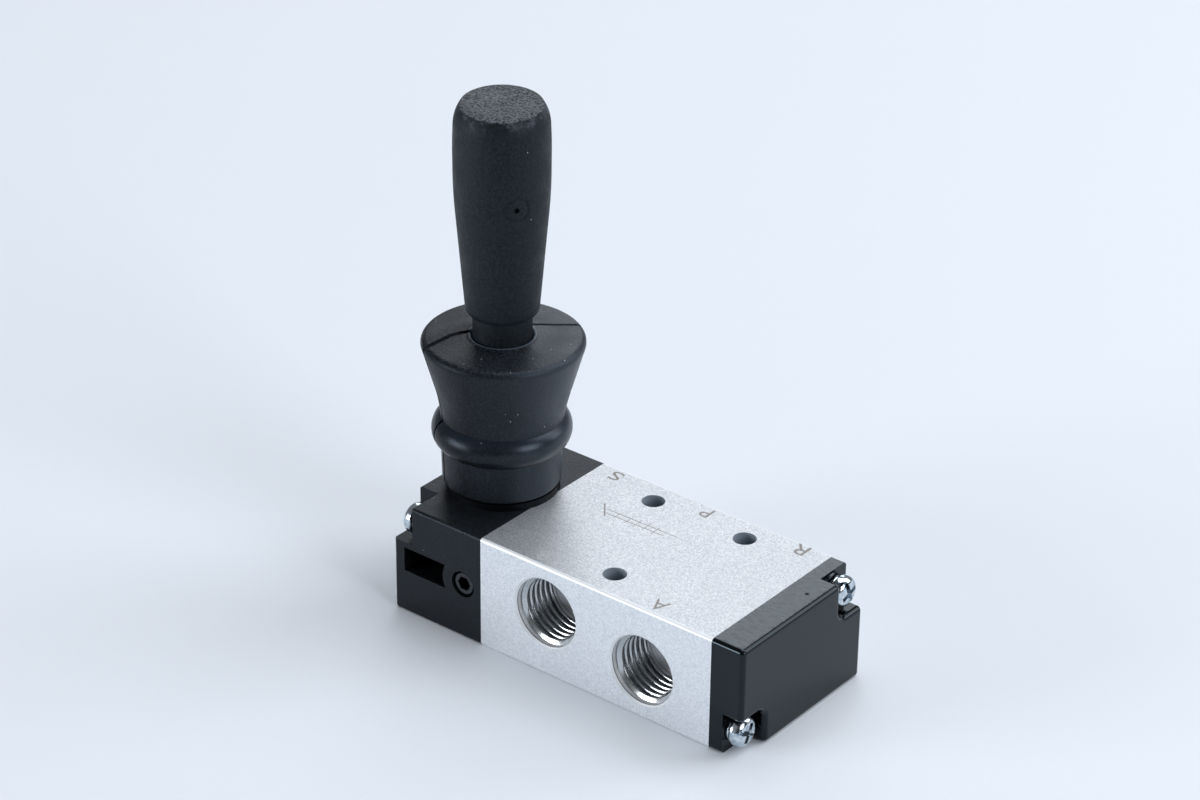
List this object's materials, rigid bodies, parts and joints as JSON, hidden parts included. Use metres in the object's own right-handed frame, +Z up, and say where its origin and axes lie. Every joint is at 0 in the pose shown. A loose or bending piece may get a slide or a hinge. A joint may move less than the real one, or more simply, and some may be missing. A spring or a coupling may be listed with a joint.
{
  "type": "hand lever air valve",
  "caption": "Hand lever air valve: ported aluminium block with a sliding spool, a lever housing with a rubber boot and grip on one end, and a black end cap on the other.",
  "frame": {"origin": "centre of the ported block's underside, midway between its two end joints", "axes": "+X along the spool towards the end cap, -Y out of the working ports A and B, +Z up along the lever"},
  "size_m": [0.0817, 0.035, 0.0965],
  "materials": {
    "body_aluminium": "sand-blasted and clear anodised",
    "housing_black": "fine grain, black",
    "cap_black": "smooth, black",
    "boot_rubber": "moulded rubber, black",
    "grip_black": "fine texture, black",
    "screw_zinc": "bright zinc",
    "mechanism_steel": "ground steel",
    "spool_aluminium": "polished",
    "seal_rubber": "moulded rubber, black",
    "bush_plastic": "acetal, natural"
  },
  "bodies": {
    "valve": {"valve_body": "body_aluminium", "lever_housing": "housing_black", "end_cap": "cap_black", "guide_bush_left": "bush_plastic", "guide_bush_right": "bush_plastic", "shaft_seal_left": "seal_rubber", "shaft_seal_right": "seal_rubber", "face_seal_left": "seal_rubber", "face_seal_right": "seal_rubber", "housing_screws": "screw_zinc", "housing_washers": "screw_zinc", "cap_screws": "screw_zinc", "cap_washers": "screw_zinc", "detent_screw": "mechanism_steel", "detent_spring": "mechanism_steel", "detent_ball": "mechanism_steel", "pivot_pin": "mechanism_steel", "dust_boot": "boot_rubber"},
    "spool": {"spool": "spool_aluminium", "spool_seal_1": "seal_rubber", "spool_seal_2": "seal_rubber", "spool_seal_3": "seal_rubber", "spool_seal_4": "seal_rubber"},
    "lever": {"lever_rod": "mechanism_steel", "lever_grip": "grip_black"}
  },
  "joints": [
    {"name": "lever_tilt", "type": "hinge", "parent": "valve", "child": "lever", "pos_m": [-0.03495, 0, 0.026], "axis": [0, 1, 0], "range_deg": [-9.5, 9.5], "deforming": ["dust_boot"]},
    {"name": "spool_slide", "type": "slide", "parent": "valve", "child": "spool", "axis": [1, 0, 0], "range_m": [-0.0025, 0.0025]}
  ],
  "couplings": [
    {"joint": "spool_slide", "follows": "lever_tilt", "m_per_rad": -0.015}
  ]
}
